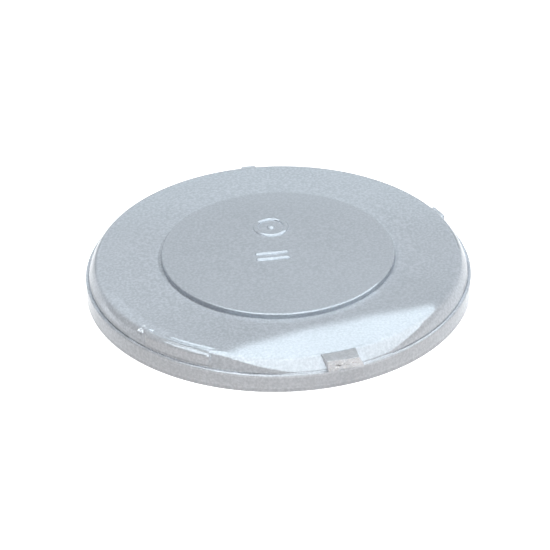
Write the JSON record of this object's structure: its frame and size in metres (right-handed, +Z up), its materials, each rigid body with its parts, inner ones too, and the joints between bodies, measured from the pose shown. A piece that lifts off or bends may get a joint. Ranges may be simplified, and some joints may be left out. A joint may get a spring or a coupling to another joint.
{
  "type": "screw cover cap",
  "caption": "Round one-piece moulded cap that covers a screw: thin flange, rounded shoulder, crowned face and raised centre disc.",
  "frame": {"origin": "centre of the flat underside", "axes": "+Z up out of the raised face, X and Y in the plane of the flange, -Y towards the cut-off gate's side"},
  "size_m": [0.018, 0.018, 0.0021],
  "materials": {
    "grey_plastic": "cool light grey moulded plastic with a fine grain and a satin gloss"
  },
  "bodies": {
    "root": {"cover_cap": "grey_plastic"}
  },
  "joints": []
}
